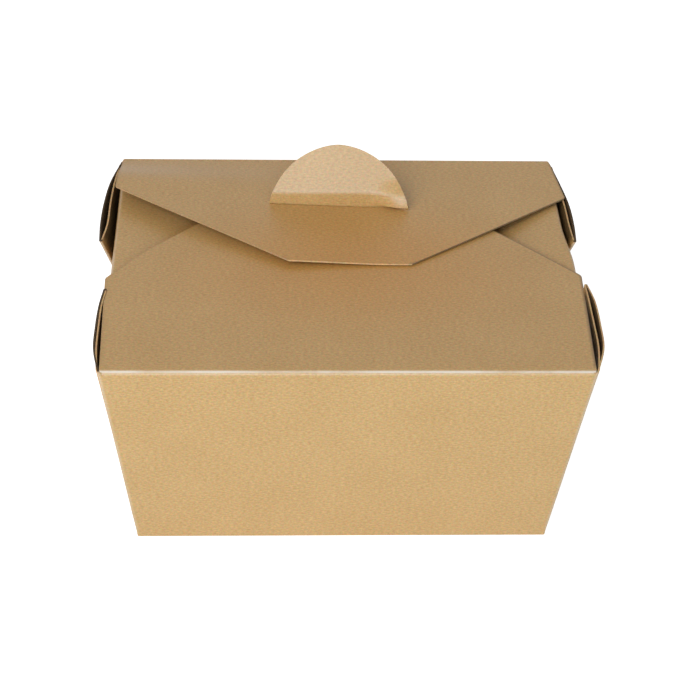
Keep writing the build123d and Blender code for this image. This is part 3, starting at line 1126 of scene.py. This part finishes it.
def seen_rays(nodes):
    """One for the rays of the camera, of mirrors and of glass, and nought for the rest."""
    path = nodes.add("ShaderNodeLightPath").outputs
    direct = nodes.math("MAXIMUM", path["Is Camera Ray"], path["Is Glossy Ray"])
    return nodes.math("MAXIMUM", direct, path["Is Transmission Ray"])


def sweep_paper(name, hex_colour, glow):
    """Matt paper sweep, which looks plain white to the camera and in mirrors, and still takes the shadow."""
    material = bpy.data.materials.new(name)
    material.use_nodes = True
    nodes = Nodes(material.node_tree)
    seen = seen_rays(nodes)
    paper = nodes.add("ShaderNodeBsdfDiffuse", {"Color": (*linear(hex_colour), 1)}).outputs[0]
    light = nodes.add("ShaderNodeEmission", {"Color": (1, 1, 1, 1), "Strength": glow}).outputs[0]
    nothing = nodes.add("ShaderNodeEmission", {"Strength": 0.0}).outputs[0]
    picked = nodes.add("ShaderNodeMixShader", {0: seen, 1: nothing, 2: light}).outputs[0]
    both = nodes.add("ShaderNodeAddShader", {0: paper, 1: picked}).outputs[0]
    nodes.add("ShaderNodeOutputMaterial", {"Surface": both})
    return material


class OBJECT_OT_lunchbox_stage(bpy.types.Operator):
    """Put the box on a white sweep under two soft lamps, and set the camera at the photograph's angle"""

    bl_idname = "object.lunchbox_stage"
    bl_label = "Stage"

    def execute(self, context):
        studio = context.scene.lunchbox.studio
        self.add_floor()
        self.add_sky(studio.sky)
        self.add_camera(context)
        self.add_lamp("front lamp", -2, 16, 0.95, size=0.34, watts=studio.front_power, tint="#d4ecff")
        self.add_lamp("left lamp", -42, 40, 1.0, size=0.6, watts=studio.left_power, tint="#fffaf2")
        context.scene.view_settings.view_transform = "Standard"
        return {"FINISHED"}

    def add_floor(self):
        bm = bmesh.new()
        bmesh.ops.create_grid(bm, x_segments=8, y_segments=8, size=6.0)
        paper = sweep_paper("white paper sweep", "#f2f2f2", glow=0.7)
        floor = placed_mesh("floor", bm, [paper])

    def add_sky(self, strength):
        world = bpy.data.worlds.new("white room")
        world.use_nodes = True
        nodes = Nodes(world.node_tree)
        level = nodes.ramp(seen_rays(nodes), (0.0, 1.0), (strength, 1.0))
        light = nodes.add("ShaderNodeBackground", {"Color": (1, 1, 1, 1), "Strength": level})
        nodes.add("ShaderNodeOutputWorld", {"Surface": light.outputs[0]})
        bpy.context.scene.world = world

    def add_lamp(self, name, azimuth, elevation, distance, size, watts, tint):
        lamp = bpy.data.lights.new(name, "AREA")
        lamp.color = linear(tint)
        lamp.shape = "SQUARE"
        lamp.size = size
        lamp.energy = watts
        back, target = direction(azimuth, elevation), Vector((0, 0, 0.04))
        turn = back.to_track_quat("Z", "Y").to_matrix().to_4x4()
        placed(name, lamp).matrix_world = Matrix.Translation(target + back * distance) @ turn

    def add_camera(self, context):
        """Places the camera by bearing, height, roll and distance."""
        azimuth, elevation, roll, distance = -3.36, 37.31, radians(2.09), 0.547
        target = Vector((0.003, 0, 0.0319))
        back = direction(azimuth, elevation)
        right = (-back).cross(Vector((0, 0, 1))).normalized()
        up = right.cross(-back)
        turned = right * cos(roll) + up * sin(roll), up * cos(roll) - right * sin(roll), back
        camera = bpy.data.cameras.new("camera")
        camera.sensor_width = 36
        camera.sensor_fit = "HORIZONTAL"
        camera.lens = 96.43
        camera.clip_start = 0.01
        piece = placed("camera", camera)
        place = Matrix(turned).transposed().to_4x4()
        place.translation = target + back * distance
        piece.matrix_world = place
        context.scene.camera = piece


def direction(azimuth, elevation):
    """Unit vector towards a bearing, 0 being straight in front of the box, and a height, in degrees."""
    a, e = radians(azimuth), radians(elevation)
    return Vector((sin(a) * cos(e), -cos(a) * cos(e), sin(e)))


# Panel and registration


class VIEW3D_PT_lunchbox(bpy.types.Panel):
    bl_idname = "VIEW3D_PT_lunchbox"
    bl_label = "Kraft lunch box"
    bl_space_type = "VIEW_3D"
    bl_region_type = "UI"
    bl_category = "Lunch box"

    def draw(self, context):
        settings = context.scene.lunchbox
        for step, groups in STEPS:
            box = self.layout.box()
            box.operator(step.bl_idname)
            for group in groups:
                for name in type(getattr(settings, group)).__annotations__:
                    box.prop(getattr(settings, group), name)


STEPS = (
    (OBJECT_OT_lunchbox_tray, ("tray", "webs", "front_flap", "finish")),
    (OBJECT_OT_lunchbox_ends, ("end_flap",)),
    (OBJECT_OT_lunchbox_back_flap, ("back_flap",)),
    (OBJECT_OT_lunchbox_beads, ()),
    (OBJECT_OT_lunchbox_stage, ("studio",)),
)
CLASSES = (
    LunchboxTraySizes,
    LunchboxWebSizes,
    LunchboxFrontFlapSizes,
    LunchboxEndFlapSizes,
    LunchboxBackFlapSizes,
    LunchboxFinish,
    LunchboxStudio,
    LunchboxSettings,
    *(step for step, _ in STEPS),
    VIEW3D_PT_lunchbox,
)


def register():
    for cls in CLASSES:
        bpy.utils.register_class(cls)
    bpy.types.Scene.lunchbox = PointerProperty(type=LunchboxSettings)


def unregister():
    del bpy.types.Scene.lunchbox
    for cls in reversed(CLASSES):
        bpy.utils.unregister_class(cls)


def main():
    register()
    for step in ("tray", "ends", "back_flap", "beads", "stage"):
        getattr(bpy.ops.object, "lunchbox_" + step)()


if __name__ == "__main__":
    main()
